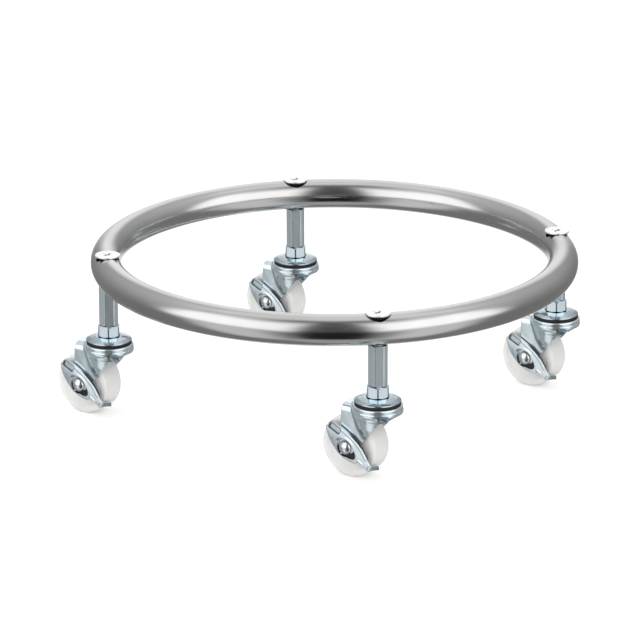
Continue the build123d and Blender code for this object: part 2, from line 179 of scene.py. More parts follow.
def lathe_on_axle(profile, segments=TURN_STEPS):
    """A closed (radius, out) outline turned about the axle, in the caster's frame."""
    verts, faces = lathe(profile, segments)
    return np.column_stack((verts[:, 0] - TRAIL, -verts[:, 2], verts[:, 1] + AXLE_Z)), faces


def stand(piece, place, body, *nodes):
    """Puts a piece drawn in a caster's frame at one of the casters."""
    piece.location = ground_point(place)
    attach(piece, body)
    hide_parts(*nodes)


# -------------------------------- surfaces from distance fields
# The pressed pieces are drawn as fields: negative inside the sheet, zero on its surface.
FAR = 1e9
TINY = 1e-12  # keeps a division by an empty length from failing


def join(a, b, blend):
    """Union of two fields, with a fillet between them."""
    h = np.clip(0.5 + 0.5 * (b - a) / blend, 0, 1)
    return b + (a - b) * h - blend * h * (1 - h)


def cut(a, b, blend):
    """What is inside both fields, with a rounded edge between them."""
    return -join(-a, -b, blend)


def round_box(x, y, half_x, half_y, radius):
    """A rectangle about the origin with rounded corners."""
    dx = np.abs(x) - (half_x - radius)
    dy = np.abs(y) - (half_y - radius)
    return np.minimum(np.maximum(dx, dy), 0) + np.hypot(np.maximum(dx, 0), np.maximum(dy, 0)) - radius


def outline_field(points, x, y):
    """Signed distance to a closed outline."""
    nearest = np.full(x.shape, FAR)
    inside = np.zeros(x.shape, bool)
    for i, (x1, y1) in enumerate(points):
        x0, y0 = points[i - 1]
        ex, ey = x1 - x0, y1 - y0
        t = np.clip(((x - x0) * ex + (y - y0) * ey) / (ex * ex + ey * ey + TINY), 0, 1)
        nearest = np.minimum(nearest, (x - x0 - t * ex) ** 2 + (y - y0 - t * ey) ** 2)
        crosses = (y0 > y) != (y1 > y)
        inside ^= crosses & (x < (x1 - x0) * (y - y0) / (y1 - y0 + TINY) + x0)
    return np.where(inside, -1, 1) * np.sqrt(nearest)


SLOPE_STEP = 0.02
SETTLE_ROUNDS = 4
FLATTEST = 0.05  # least squared slope that a settling step divides by


def gradient(field, points, step=SLOPE_STEP):
    slope = np.empty_like(points)
    for axis in range(3):
        move = np.zeros(3)
        move[axis] = step
        ahead = field(*(points + move).T)
        behind = field(*(points - move).T)
        slope[:, axis] = (ahead - behind) / (2 * step)
    return slope


CORNERS = [(i, j, k) for i in (0, 1) for j in (0, 1) for k in (0, 1)]


def crossing_points(value, shape):
    """The cells that the surface crosses, and the middle of its crossings with each one's edges."""
    def corner(grid, offset):
        return grid[tuple(slice(o, o + n) for o, n in zip(offset, shape))]

    inside = sum(corner(value < 0, offset).astype(int) for offset in CORNERS)
    mixed = (inside > 0) & (inside < len(CORNERS))
    summed = np.zeros(shape + (3,))
    hits = np.zeros(shape)
    for a in CORNERS:
        for axis in range(3):
            if a[axis]:
                continue
            b = tuple(1 if n == axis else a[n] for n in range(3))
            va, vb = corner(value, a), corner(value, b)
            crossing = (va < 0) != (vb < 0)
            share = np.where(crossing, va / np.where(va == vb, 1, va - vb), 0)
            for n in range(3):
                spot = a[n] + (share if n == axis else 0)
                summed[..., n] += np.where(crossing, spot, 0)
            hits += crossing
    return mixed, np.argwhere(mixed) + summed[mixed] / hits[mixed][:, None]


def settle(field, points, cell):
    """Moves points onto a field's zero surface."""
    for _ in range(SETTLE_ROUNDS):
        slope = gradient(field, points)
        size = np.maximum((slope**2).sum(1), FLATTEST)
        move = -field(*points.T)[:, None] * slope / size[:, None]
        points += np.clip(move, -cell / 2, cell / 2)


def crossing_quads(inside, number, shape):
    """A quad across each grid edge that the surface crosses, between the four cells around it."""
    faces = []
    for axis in range(3):
        b, c = (axis + 1) % 3, (axis + 2) % 3
        here = [slice(0, n) for n in inside.shape]
        there = list(here)
        here[axis] = slice(0, -1)
        there[axis] = slice(1, None)
        flips = inside[tuple(here)] != inside[tuple(there)]
        for spot in np.argwhere(flips):
            if spot[b] == 0 or spot[c] == 0 or spot[b] >= shape[b] or spot[c] >= shape[c]:
                continue
            quad = []
            for db, dc in ((-1, -1), (0, -1), (0, 0), (-1, 0)):
                cell_at = spot.copy()
                cell_at[b] += db
                cell_at[c] += dc
                quad.append(number[tuple(cell_at)])
            faces.append(quad if inside[tuple(spot)] else quad[::-1])
    return faces


def skin(field, low, high, cell):
    """Quads over a field's zero surface, with a vertex in each grid cell that the surface crosses."""
    axes = [np.arange(a - cell, b + 2 * cell, cell) for a, b in zip(low, high)]
    value = field(*np.meshgrid(*axes, indexing="ij"))
    shape = tuple(n - 1 for n in value.shape)
    mixed, middles = crossing_points(value, shape)
    points = np.array([axis[0] for axis in axes]) + middles * cell
    settle(field, points, cell)
    number = np.full(shape, -1)
    number[mixed] = np.arange(mixed.sum())
    faces = crossing_quads(value < 0, number, shape)
    normals = gradient(field, points)
    normals /= np.maximum(np.linalg.norm(normals, axis=1, keepdims=True), TINY)
    return points, faces, normals


# -------------------------------- materials
class Nodes:
    """Short ways of adding and linking shader nodes."""

    def __init__(self, tree):
        self.tree = tree

    def add(self, kind, **values):
        node = self.tree.nodes.new(kind)
        for key, value in values.items():
            setattr(node, key, value)
        return node

    def link(self, source, target):
        self.tree.links.new(source, target)

    def noise(self, scale, detail=3.0, stretch=(1, 1, 1), coordinates="Object"):
        place = self.add("ShaderNodeTexCoord")
        mapping = self.add("ShaderNodeMapping")
        mapping.inputs["Scale"].default_value = stretch
        self.link(place.outputs[coordinates], mapping.inputs["Vector"])
        noise = self.add("ShaderNodeTexNoise")
        noise.inputs["Scale"].default_value = scale
        noise.inputs["Detail"].default_value = detail
        self.link(mapping.outputs["Vector"], noise.inputs["Vector"])
        return noise.outputs["Fac"]

    def spread(self, value, low, high, start=0.3, end=0.7):
        """Carries a noise's useful range over to low..high."""
        node = self.add("ShaderNodeMapRange")
        node.inputs["From Min"].default_value = start
        node.inputs["From Max"].default_value = end
        node.inputs["To Min"].default_value = low
        node.inputs["To Max"].default_value = high
        self.link(value, node.inputs["Value"])
        return node.outputs["Result"]

    def tint(self, value, dark, light):
        node = self.add("ShaderNodeMix", data_type="RGBA")
        node.inputs[6].default_value = (*dark, 1)
        node.inputs[7].default_value = (*light, 1)
        self.link(value, node.inputs[0])
        return node.outputs[2]

    def painted_corner_shade(self, colour, reach_mm, painted_shade):
        """Painted shade: darkens a colour in corners and under overhangs, where less light reaches."""
        open_air = self.add("ShaderNodeAmbientOcclusion", samples=8)
        open_air.inputs["Distance"].default_value = reach_mm * MM
        node = self.add("ShaderNodeMix", data_type="RGBA")
        self.link(self.spread(open_air.outputs["AO"], 0, 1, 0.15, 0.75), node.inputs[0])
        node.inputs[6].default_value = (*painted_shade, 1)
        self.link(colour, node.inputs[7])
        return node.outputs[2]

    def shaded(self, colour, painted_shade):
        """Darkens a colour where a piece's own shade attribute says so."""
        shade = self.add("ShaderNodeAttribute", attribute_name="shade")
        node = self.add("ShaderNodeMix", data_type="RGBA")
        self.link(shade.outputs["Fac"], node.inputs[0])
        self.link(colour, node.inputs[6])
        node.inputs[7].default_value = (*painted_shade, 1)
        return node.outputs[2]

    def math(self, kind, a, b=None):
        """A sum on one or two values, each a number or another node's output."""
        node = self.add("ShaderNodeMath", operation=kind)
        for place, value in enumerate((a, b)):
            if value is None:
                continue
            if isinstance(value, (int, float)):
                node.inputs[place].default_value = value
            else:
                self.link(value, node.inputs[place])
        return node.outputs[0]

    def ramp_up(self, value, start, end, low=0.0, high=1.0):
        """Low before start, high after end, and an S-curve between."""
        node = self.add("ShaderNodeMapRange", interpolation_type="SMOOTHSTEP")
        node.inputs["From Min"].default_value = start
        node.inputs["From Max"].default_value = end
        node.inputs["To Min"].default_value = low
        node.inputs["To Max"].default_value = high
        self.link(value, node.inputs["Value"])
        return node.outputs["Result"]

    def window(self, value, low, high, soft):
        """1 between low and high, 0 outside, with soft edges."""
        past_high = self.ramp_up(value, high - soft, high + soft)
        return self.math("MULTIPLY", self.ramp_up(value, low - soft, low + soft),
                         self.math("SUBTRACT", 1.0, past_high))

    def bump(self, value, depth_mm, strength=1.0, after=None):
        node = self.add("ShaderNodeBump")
        node.inputs["Strength"].default_value = strength
        node.inputs["Distance"].default_value = depth_mm * MM
        self.link(value, node.inputs["Height"])
        if after is not None:
            self.link(after, node.inputs["Normal"])
        return node.outputs["Normal"]


def new_material(name):
    material = bpy.data.materials.new(name)
    material.use_nodes = True
    nodes = Nodes(material.node_tree)
    shader = material.node_tree.nodes["Principled BSDF"]
    return material, nodes, shader


# painted shade in corners and gaps, and where a shade attribute puts it: its colour and its reach
PAINTED_SHADE_SHARE = 0.06  # how bright the painted shade is beside the plating it lies on
CORNER_SHADE_REACH = 1.5
GRAIN_SCALE = 900.0
GRAIN_DEPTH = 0.006


def metal(name, dark, light, rough, waviness_mm=0.0, wave_scale=90.0, sheen=1.0):
    """Plated or polished metal: faint clouding, fine grain and the slight waves of pressed sheet.

    Painted shade darkens the plating in corners and gaps, and where a piece's shade attribute puts it.
    """
    material, nodes, shader = new_material(name)
    shader.inputs["Metallic"].default_value = sheen
    clouds = nodes.noise(120.0, 4.0)
    plating = nodes.tint(nodes.spread(clouds, 0, 1), dark, light)
    painted_shade = [PAINTED_SHADE_SHARE * c for c in dark]
    darkened = nodes.shaded(nodes.painted_corner_shade(plating, CORNER_SHADE_REACH, painted_shade), painted_shade)
    nodes.link(darkened, shader.inputs["Base Color"])
    fine = nodes.noise(GRAIN_SCALE, 2.0)
    nodes.link(nodes.spread(fine, rough * 0.8, rough * 1.25), shader.inputs["Roughness"])
    normal = nodes.bump(fine, GRAIN_DEPTH, 0.35)
    if waviness_mm:
        normal = nodes.bump(nodes.noise(wave_scale, 1.0), waviness_mm, 1.0, normal)
    nodes.link(normal, shader.inputs["Normal"])
    return material


def brushed_tube():
    """Satin stainless: fine lines that run along the tube, and soft changes of sheen."""
    material, nodes, shader = new_material("satin_stainless")
    shader.inputs["Metallic"].default_value = 1.0
    clouds = nodes.noise(14.0, 3.0)
    nodes.link(nodes.tint(nodes.spread(clouds, 0, 1), (0.60, 0.585, 0.575), (0.70, 0.69, 0.68)),
               shader.inputs["Base Color"])
    lines = nodes.noise(1.0, 4.0, stretch=(60, 420, 1), coordinates="UV")
    nodes.link(nodes.spread(lines, 0.13, 0.23), shader.inputs["Roughness"])
    nodes.link(nodes.bump(lines, 0.004, 0.5), shader.inputs["Normal"])
    return material


def wheel_plastic():
    """Natural polypropylene: milky, slightly translucent, faintly mottled by flow."""
    material, nodes, shader = new_material("natural_plastic")
    mottle = nodes.noise(70.0, 4.0)
    nodes.link(nodes.tint(nodes.spread(mottle, 0, 1), (0.68, 0.68, 0.67), (0.77, 0.77, 0.76)),
               shader.inputs["Base Color"])
    shader.inputs["Subsurface Weight"].default_value = 0.35
    shader.inputs["Subsurface Radius"].default_value = (1.0, 0.95, 0.9)
    shader.inputs["Subsurface Scale"].default_value = 0.003
    grain = nodes.noise(500.0, 3.0)
    nodes.link(nodes.spread(grain, 0.28, 0.40), shader.inputs["Roughness"])
    nodes.link(nodes.bump(grain, 0.02, 0.4), shader.inputs["Normal"])
    return material


def seal_rubber():
    material, nodes, shader = new_material("black_seal")
    speckle = nodes.noise(800.0, 3.0)
    nodes.link(nodes.tint(nodes.spread(speckle, 0, 1), (0.004, 0.004, 0.005), (0.014, 0.014, 0.015)),
               shader.inputs["Base Color"])
    nodes.link(nodes.spread(speckle, 0.55, 0.75), shader.inputs["Roughness"])
    return material


def hole_wall_painted_shade():
    """The unpolished inside of the tube, seen down the screw holes; its near-black colour is painted shade
    in the holes.
    """
    material, nodes, shader = new_material("hole_wall_painted_shade")
    shader.inputs["Metallic"].default_value = 0.6
    hole_mottle = nodes.noise(300.0, 4.0)
    nodes.link(nodes.tint(nodes.spread(hole_mottle, 0, 1), (0.010, 0.010, 0.011), (0.03, 0.029, 0.028)),
               shader.inputs["Base Color"])
    nodes.link(nodes.spread(hole_mottle, 0.55, 0.75), shader.inputs["Roughness"])
    return material


STAINLESS = brushed_tube()
HOLE_PAINTED_SHADE = hole_wall_painted_shade()
PLASTIC = wheel_plastic()
SEAL = seal_rubber()
# name, darkest and lightest plating, roughness, depth and scale of the sheet's waves
ZINC = metal("bright_zinc", (0.76, 0.88, 0.95), (0.86, 0.95, 0.99), 0.13, 0.05, 160.0, sheen=0.96)
SPACER_ZINC = metal("spacer_zinc", (0.78, 0.89, 0.95), (0.88, 0.95, 0.99), 0.16, 0.05, 160.0, sheen=0.84)
CAP_ZINC = metal("cap_zinc", (0.50, 0.60, 0.66), (0.64, 0.73, 0.79), 0.12, 0.05, 160.0)
FORK_ZINC = metal("pressed_zinc", (0.76, 0.89, 0.95), (0.86, 0.95, 0.99), 0.13, 0.22, 110.0, sheen=0.87)
LEVER_ZINC = metal("lever_zinc", (0.77, 0.88, 0.94), (0.87, 0.95, 0.98), 0.13, 0.16, 140.0, sheen=0.84)
RIVET_ZINC = metal("rivet_zinc", (0.82, 0.85, 0.88), (0.90, 0.92, 0.94), 0.12, 0.04, 200.0, sheen=0.93)
SCREW_PLATE = metal("screw_plate", (0.86, 0.87, 0.90), (0.93, 0.94, 0.96), 0.2, 0.02, 200.0, sheen=0.6)
BEARING = metal("bearing_steel", (0.62, 0.62, 0.63), (0.70, 0.70, 0.71), 0.10)


# -------------------------------- the ring
RING_STEPS = 480
SECTION_STEPS = 72
HEAD_R = 7.7
THREAD_R = 4.0
CREST_Z = RING_Z + TUBE_R
HEAD_CONE_Z = CREST_Z - (HEAD_R - THREAD_R)
SEAT_HOLE_R = 7.0  # hole in the tube's upper wall
SEAT_GAP = 0.06
SEAT_MOUTH = 0.5  # how far past the head the flare runs on
CLEAR_ABOVE = 4.0
ON_AXIS = 0.001  # almost on the axis, in mm or radians
HOLE_CREASE = 25.0


def make_cutter():
    """What is cut from the tube under each screw head: a hole, flared where the head seats."""
    flare_z = HEAD_CONE_Z + SEAT_HOLE_R - THREAD_R - SEAT_GAP
    mouth_r = HEAD_R + SEAT_MOUTH
    high_z = CREST_Z + CLEAR_ABOVE
    profile = [(ON_AXIS, RING_Z), (SEAT_HOLE_R, RING_Z), (SEAT_HOLE_R, flare_z),
               (mouth_r, CREST_Z + SEAT_MOUTH - SEAT_GAP), (mouth_r, high_z), (ON_AXIS, high_z)]
    verts, faces = lathe(profile)
    every_vert, every_face = [], []
    for place in PLACES:
        spot = ground_point(place) / MM
        start = len(every_vert) * len(verts)
        every_vert.append(verts + np.array((spot.x, spot.y, 0)))
        every_face += [[index + start for index in face] for face in faces]
    # the hole walls take the cutter's near-black material: painted shade in the holes
    return new_piece("seat_cutter", np.vstack(every_vert), every_face, HOLE_PAINTED_SHADE, "stainless_tube")


def tube_mesh():
    """The whole tube, with a map that runs along it for the lines of its satin finish."""
    angles = np.linspace(-math.pi, math.pi, RING_STEPS, endpoint=False)
    turns = np.linspace(0, 2 * math.pi, SECTION_STEPS, endpoint=False)
    a, t = np.meshgrid(angles, turns, indexing="ij")
    reach = RING_R + TUBE_R * np.cos(t)
    verts = np.stack((reach * np.cos(a), reach * np.sin(a), RING_Z + TUBE_R * np.sin(t)), -1).reshape(-1, 3)
    ring = new_piece("ring", verts, quads_round(RING_STEPS, SECTION_STEPS), STAINLESS, "stainless_tube")
    layer = ring.data.uv_layers.new(name="along")
    for polygon in ring.data.polygons:
        i, k = divmod(polygon.index, SECTION_STEPS)
        for loop, (di, dk) in zip(polygon.loop_indices, ((0, 0), (1, 0), (1, 1), (0, 1))):
            layer.data[loop].uv = ((i + di) / RING_STEPS, (k + dk) / SECTION_STEPS)
    return ring


def cut_holes(piece, cutter):
    """Takes the cutter out of a piece, and leaves the cutter's material inside the holes."""
    holes = piece.modifiers.new("holes", "BOOLEAN")
    holes.object = cutter
    holes.operation = "DIFFERENCE"
    holes.solver = "EXACT"
    holes.material_mode = "TRANSFER"
    graph = bpy.context.evaluated_depsgraph_get()
    mesh = bpy.data.meshes.new_from_object(piece.evaluated_get(graph))
    piece.modifiers.clear()
    piece.data = mesh
    bpy.data.objects.remove(cutter)
    made = bmesh.new()
    made.from_mesh(mesh)
    mark_sharp(made, HOLE_CREASE)
    made.to_mesh(mesh)
    made.free()


def make_ring():
    """The bent tube, holed where each screw head sits in its crest."""
    ring = tube_mesh()
    cut_holes(ring, make_cutter())
    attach(ring, "root")
    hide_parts("ring_tube")


# -------------------------------- screws, spacers and nuts
RECESS_ARM = 3.4
RECESS_HALF = 0.75
RECESS_DEPTH = 1.7
RECESS_WALL = 0.5
RECESS_CENTRE_R = 1.5
RECESS_CENTRE_TAPER = 0.7
HEAD_RINGS = 26
HEAD_EDGE = 0.25
HEAD_EDGE_CUT = 0.07
SEAT_LAND = 0.1
TIP_CHAMFER = 0.7
UNDERCUT_SHADE = 0.5  # the shade of the head's underside ends this far below its cone


def recess_depth(x, y):
    """Depth of the cross recess: two crossed slots that taper in towards the middle."""
    x, y = abs(x), abs(y)
    long, short = max(x, y), min(x, y)
    wall = min(RECESS_ARM - long, RECESS_HALF - short)
    centre = (RECESS_CENTRE_R - math.hypot(x, y)) * RECESS_CENTRE_TAPER
    return RECESS_DEPTH * min(max(max(wall, centre) / RECESS_WALL, 0), 1)


def make_screws():
    """Flat countersunk heads with a cross recess, on their shanks."""
    segments = TURN_STEPS
    tip_z = height("top_screws", 0)
    radii = [(HEAD_R - HEAD_EDGE) * (k + 1) / HEAD_RINGS for k in range(HEAD_RINGS)]
    below = [(HEAD_R - HEAD_EDGE_CUT, HEAD_TOP_Z - HEAD_EDGE_CUT), (HEAD_R, HEAD_TOP_Z - HEAD_EDGE),
             (HEAD_R, CREST_Z + SEAT_LAND), (HEAD_R - SEAT_LAND, CREST_Z - SEAT_LAND),
             (THREAD_R, HEAD_CONE_Z), (THREAD_R, tip_z + TIP_CHAMFER), (THREAD_R - TIP_CHAMFER, tip_z)]
    angles = [2 * math.pi * s / segments for s in range(segments)]
    verts, faces = [], []
    for place in PLACES:
        spot = ground_point(place) / MM
        base = len(verts)
        verts.append((spot.x, spot.y, HEAD_TOP_Z - recess_depth(0, 0)))
        for r in radii:
            for angle in angles:
                x, y = r * math.cos(angle), r * math.sin(angle)
                verts.append((spot.x + x, spot.y + y, HEAD_TOP_Z - recess_depth(x, y)))
        for r, z in below:
            for angle in angles:
                verts.append((spot.x + r * math.cos(angle), spot.y + r * math.sin(angle), z))
        count = len(radii) + len(below)
        for s in range(segments):
            after = (s + 1) % segments
            faces.append((base, base + 1 + s, base + 1 + after))
            for k in range(count - 1):
                low, high = base + 1 + k * segments, base + 1 + (k + 1) * segments
                faces.append((low + s, high + s, high + after, low + after))
        faces.append([base + 1 + (count - 1) * segments + s for s in range(segments)])
    # painted shadow: the head's underside, between its cone and the tube's crest, goes black through the
    # shade attribute
    below_rim = [1.0 if HEAD_CONE_Z - UNDERCUT_SHADE < z < CREST_Z else 0.0 for x, y, z in verts]
    screws = new_piece("screws", verts, faces, SCREW_PLATE, "screw_steel", shade=below_rim)
    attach(screws, "root")
    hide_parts("top_screws")


# flats, corner radius, turn in degrees, radius at which the ends are turned back
SPACER = (10.4, 0.8, 14.0, 5.2)
NUT = (13.0, 1.9, 35.0, 6.2)
HEX_STEPS = 24  # points along each flat
HEX_CREASE = 18.0
CHAMFER_SLOPE = math.tan(math.radians(38))
CHAMFER_LEAST = 0.02
CHAMFER_INSET = 0.05  # keeps the end face's edge off the flats
BORE_FLARE = 0.7
BORE_FLARE_DEPTH = 0.9


def hexagon_radius(angle, flats, corner_r):
    """Distance from a hexagon's middle to its edge, its corners rounded to a radius."""
    turn = abs((angle + math.pi / 6) % (math.pi / 3) - math.pi / 6)
    if math.tan(turn) <= (1 - 2 * corner_r / flats) * math.tan(math.pi / 6):
        return flats / 2 / math.cos(turn)
    centre = (flats / 2 - corner_r) / math.cos(math.pi / 6)
    aside = math.pi / 6 - turn
    return centre * math.cos(aside) + math.sqrt(corner_r**2 - (centre * math.sin(aside)) ** 2)


def make_hex(name, hexagon, low_z, high_z, material):
    """A hexagonal bar with turned-back corners and a countersunk bore, from low_z to high_z."""
    flats, corner_r, turn, chamfer_r = hexagon
    flare_r = THREAD_R + BORE_FLARE
    count = 6 * HEX_STEPS
    start = math.radians(turn)
    verts = []
    for i in range(count):
        angle = 2 * math.pi * i / count
        reach = hexagon_radius(angle, flats, corner_r)
        drop = max(reach - chamfer_r, 0) * CHAMFER_SLOPE + CHAMFER_LEAST
        near = min(reach - CHAMFER_INSET, chamfer_r)
        row = [(THREAD_R, low_z + BORE_FLARE_DEPTH), (flare_r, low_z), (near, low_z),
               (reach, low_z + drop), (reach, high_z - drop),
               (near, high_z), (flare_r, high_z), (THREAD_R, high_z - BORE_FLARE_DEPTH)]
        verts += [(r * math.cos(angle + start), r * math.sin(angle + start), z) for r, z in row]
    return new_piece(name, verts, quads_round(count, len(row)), material, "zinc_steel", crease=HEX_CREASE)


# -------------------------------- swivel bearing
CAP_R = 14.0
# radius, height from the nut's underside, edge radius: over the top from the bore, then back below
CAP_PROFILE = [
    (4.1, -0.5, 0.1), (6.6, -0.5, 0.2), (7.0, 0, 0.3), (8.0, 0, 1.0), (11.6, -0.9, 4.0),
    (CAP_R, -2.0, 0.5), (CAP_R, -2.65, 0.25), (CAP_R - 1.0, -2.65, 0.2), (CAP_R - 1.2, -2.2, 0.5),
    (8.8, -1.5, 2.0), (7.4, -1.2, 0.5), (4.1, -1.2, 0.1),
]
TURNED_CREASE = 50.0
DUST_RING_IN_R = 12.5
DUST_RING_R = 13.9
DUST_RING_HIGH_Z = NUT_LOW_Z - 2.6  # just inside the cap's edge


def make_cap():
    profile = rounded([(r, z + NUT_LOW_Z, edge) for r, z, edge in CAP_PROFILE])
    return new_piece("cap", *lathe(profile), CAP_ZINC, "zinc_steel", crease=TURNED_CREASE)


def make_dust_ring():
    low_z = height(f"dust_ring_{FIRST}", 0)
    profile = rounded([(DUST_RING_IN_R, low_z, 0.1), (DUST_RING_R, low_z, 0.2),
                       (DUST_RING_R, DUST_RING_HIGH_Z, 0.1), (DUST_RING_IN_R, DUST_RING_HIGH_Z, 0.1)])
    return new_piece("dust_ring", *lathe(profile), SEAL, "black_seal", crease=TURNED_CREASE)


# -------------------------------- fork
SHEET = 1.5
LEG_OUT = LEG_IN + SHEET
SKIRT_LOW_Z = 41.5
ROOF_TOP_Z = 45.7
ROOF_BEND = 5.0
FORK_REAR = -TRAIL - 4.0
LEG_FRONT = 8.5  # of the leg on the brake's side
PLAIN_LEG_FRONT = 5.0
LEG_FRONT_Z = 38.0  # where the legs' front and rear edges start to taper
LEG_REAR_Z = 31.0
LOBE_R = 5.0
LOBE_STEPS = 16
APRON = ((11.3, 38.9), (14.8, SKIRT_LOW_Z), (16.0, SKIRT_LOW_Z))
SWELL_R = (8.35, 9.85, 12.4, 13.3, 14.8, 15.0)
SWELL_Z = (23.0, 26.5, 33.0, 37.0, 42.0, 46.5)
SWELL_SLOPE = 0.9  # turns a level distance into a distance square to the sloping wall
NECK_OVERLAP = 1.5
NECK_BLEND = 1.2
CUP_BLEND = 1.2
CUP_EDGE = 0.9
FRONT_EDGE = 1.0
SHEET_EDGE = 0.4
HOLLOW_EDGE = 0.3
SKIRT_BLEND = 0.5
SWELL_OVERLAP = 1.0  # the hollows run into one another by this much
CUP_OVERLAP = 3.0
ABOVE_FORK = 5.0  # the side views run on this far above the fork
KINGPIN_HOLE_R = 4.6
DEEP = 60.0  # further down than any part of the fork
AXLE_HOLE_R = 2.35
RELIEF_AT = (10.6, 40.9)
RELIEF_R = 2.1
FORK_CELL = 0.4
GRID_ROOM = 0.5


def tangent_point(radius, outside, turn):
    """Where a line from an outside point touches a circle about the origin, on the turn's side."""
    angle = math.atan2(outside[1], outside[0]) + turn * math.acos(radius / math.hypot(*outside))
    return radius * math.cos(angle), radius * math.sin(angle)


def leg_outline(leg_front):
    """Side view of a leg and the skirt, from the axle: the leg tapers to a round lobe."""
    rear = (FORK_REAR + TRAIL, LEG_REAR_Z - AXLE_Z)
    front = (leg_front + TRAIL, LEG_FRONT_Z - AXLE_Z)
    x0, y0 = tangent_point(LOBE_R, front, -1)
    x1, y1 = tangent_point(LOBE_R, rear, 1)
    start, end = math.atan2(y0, x0), math.atan2(y1, x1) - 2 * math.pi
    lobe = [(LOBE_R * math.cos(a), LOBE_R * math.sin(a)) for a in np.linspace(start, end, LOBE_STEPS)]
    apron = [(forward + TRAIL, up - AXLE_Z) for forward, up in reversed(APRON)]
    top = FORK_TOP_Z + ABOVE_FORK - AXLE_Z
    return [(rear[0], top), (apron[0][0], top)] + apron + [front] + lobe + [rear]


BRAKE_LEG = leg_outline(LEG_FRONT)
PLAIN_LEG = leg_outline(PLAIN_LEG_FRONT)


def swell_field(out, up):
    """The cone-like wall that swells out from the legs to the cup."""
    return (out - np.interp(up, SWELL_Z, SWELL_R)) * SWELL_SLOPE


def channel_field(forward, side, up):
    """The straight channel that the legs and the roof make."""
    channel = round_box(side, up - ROOF_TOP_Z + DEEP, LEG_OUT, DEEP, ROOF_BEND)
    return cut(channel, forward - LEG_FRONT, FRONT_EDGE)


def cup_field(out, up):
    """The shallow round cup, open below, that holds the bearing."""
    cup_half = (FORK_TOP_Z - SKIRT_LOW_Z) / 2
    return round_box(out, up - FORK_TOP_Z + cup_half, CUP_R, cup_half, CUP_EDGE)


def fork_field(forward, left, up):
    """A channel, a swelling neck and a cup, hollowed to sheet and trimmed to the two legs."""
    side = np.abs(left)
    out = np.hypot(forward, left)
    swell = swell_field(out, up)
    neck = np.maximum(swell, up - SKIRT_LOW_Z - NECK_OVERLAP)
    body = join(join(channel_field(forward, side, up), neck, NECK_BLEND), cup_field(out, up), CUP_BLEND)
    # hollow it
    inner_channel = round_box(side, up - ROOF_TOP_Z + SHEET + DEEP, LEG_IN, DEEP, ROOF_BEND - SHEET)
    inner_channel = np.maximum(inner_channel, forward - LEG_FRONT)
    inner_swell = np.maximum(swell + SHEET, up - SKIRT_LOW_Z - SWELL_OVERLAP)
    inner_cup = np.maximum(out - CUP_R + SHEET, up - FORK_TOP_Z + SHEET)
    inner_cup = np.maximum(inner_cup, SKIRT_LOW_Z - CUP_OVERLAP - up)
    hollow = np.minimum(np.minimum(inner_channel, inner_swell), inner_cup)
    body = cut(body, -hollow, HOLLOW_EDGE)
    # trim it to the side views of the two legs
    brake_leg = outline_field(BRAKE_LEG, forward + TRAIL, up - AXLE_Z)
    plain_leg = outline_field(PLAIN_LEG, forward + TRAIL, up - AXLE_Z)
    legs = np.where(left < 0, brake_leg, plain_leg)
    skirt = np.maximum(SKIRT_LOW_Z - up, FORK_REAR - forward)
    body = cut(body, join(legs, skirt, SKIRT_BLEND), SHEET_EDGE)
    # relief where the leg's front edge meets the skirt, and the two bores
    relief = np.hypot(forward - RELIEF_AT[0], up - RELIEF_AT[1]) - RELIEF_R
    body = cut(body, -relief, SHEET_EDGE)
    body = np.maximum(body, AXLE_HOLE_R - np.hypot(forward + TRAIL, up - AXLE_Z))
    return np.maximum(body, KINGPIN_HOLE_R - out)


def band(value, width):
    """1 where a field is zero, fading out on both sides of it."""
    return np.exp(-(value / width) ** 2)


def fork_shade(points):
    """Painted shade and dark reflection in the crease where the swelling wall leaves the channel, and
    painted shade around the relief.
    """
    forward, left, up = points.T
    out = np.hypot(forward, left)
    crease = channel_field(forward, np.abs(left), up) - swell_field(out, up)
    crease = band(crease, 0.55) * (up < SKIRT_LOW_Z + 2) * (out > LEG_IN)
    relief = np.hypot(forward - RELIEF_AT[0], up - RELIEF_AT[1]) - RELIEF_R
    return np.clip(0.6 * crease + 0.9 * band(relief, 0.6), 0, 1)


def make_fork_skin():
    low = (FORK_REAR, -CUP_R, AXLE_Z - LOBE_R)
    high = (CUP_R, CUP_R, FORK_TOP_Z)
    return skin(fork_field, [a - GRID_ROOM for a in low], [b + GRID_ROOM for b in high], FORK_CELL)


# -------------------------------- axle and wheel
RIVET_BASE = 11.15  # out from the wheel's middle
RIVET_R = 4.5
RIVET_APEX = 13.95
RIVET_H = RIVET_APEX - RIVET_BASE
DOME_STEPS = 18
SHANK_R = 2.3
TAIL_R = 3.8
TAIL_H = 1.5
TAIL_DIMPLE_R = 1.4
TAIL_DIMPLE_FLOOR_R = 0.9
TAIL_DIMPLE_DEPTH = 0.6


def make_rivet():
    """Domed head over the brake, a shank through the fork, and a tail riveted flat."""
    dome_r = (RIVET_R**2 + RIVET_H**2) / (2 * RIVET_H)
    centre = RIVET_APEX - dome_r
    turns = np.linspace(ON_AXIS, math.asin(RIVET_R / dome_r), DOME_STEPS)
    dome = [(dome_r * math.sin(turn), centre + dome_r * math.cos(turn)) for turn in turns]
    tail = -LEG_OUT
    end = tail - TAIL_H
    dimple = end + TAIL_DIMPLE_DEPTH
    rest = rounded([(SHANK_R, RIVET_BASE, 0), (SHANK_R, tail, 0),
                    (TAIL_R, tail, 0.15), (TAIL_R, end, 0.6),
                    (TAIL_DIMPLE_R, end, 0.3), (TAIL_DIMPLE_FLOOR_R, dimple, 0.3), (ON_AXIS, dimple, 0)])
    turned = lathe_on_axle(dome + rest)
    return new_piece("rivet", *turned, RIVET_ZINC, "rivet_steel", crease=TURNED_CREASE)


WHEEL_HALF = 8.0
HUB_HALF = 8.2
HUB_R = 5.2
FACE_HALF = 7.4  # of the dished face between hub and shoulder
TREAD_R = WHEEL_R - 0.25
BORE_R = 3.25
WHEEL_CREASE = 60.0
WHEEL_ARC_STEPS = 7


